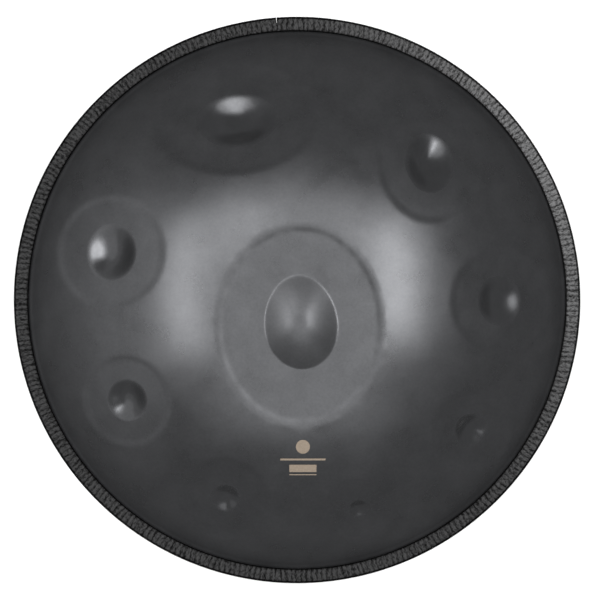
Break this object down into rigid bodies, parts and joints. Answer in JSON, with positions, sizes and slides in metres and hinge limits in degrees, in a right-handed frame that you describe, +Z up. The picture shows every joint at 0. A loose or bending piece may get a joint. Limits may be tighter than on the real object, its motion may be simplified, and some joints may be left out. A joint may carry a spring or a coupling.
{
  "type": "handpan",
  "caption": "Lens-shaped steel handpan with a raised egg-shaped centre dome, dimpled oval tone fields, a round port below and a ribbed rim trim.",
  "frame": {"origin": "centre of the flat land around the port, on the surface that the pan stands on", "axes": "+Z up through the port to the centre dome, +Y towards the side where the two ends of the rim trim meet, +X to the right seen from above with +Y away"},
  "size_m": [0.54, 0.5399, 0.2243],
  "materials": {
    "top_steel": "nitrided sheet steel, dark gunmetal grey, satin, with faint hammer mottling around the tone fields",
    "bottom_steel": "nitrided sheet steel, dark gunmetal grey, satin",
    "adhesive": "cured two-part adhesive, cream, matte",
    "trim": "black soft edge trim, ribbed across, fine leather grain, semi-matte",
    "clip_steel": "plain spring steel strip",
    "badge_print": "beige printed film, matte"
  },
  "bodies": {
    "root": {"top_shell": "top_steel", "bottom_shell": "bottom_steel", "flange_bond": "adhesive", "rim_trim": "trim", "trim_clip": "clip_steel", "badge_mark": "badge_print"}
  },
  "joints": []
}
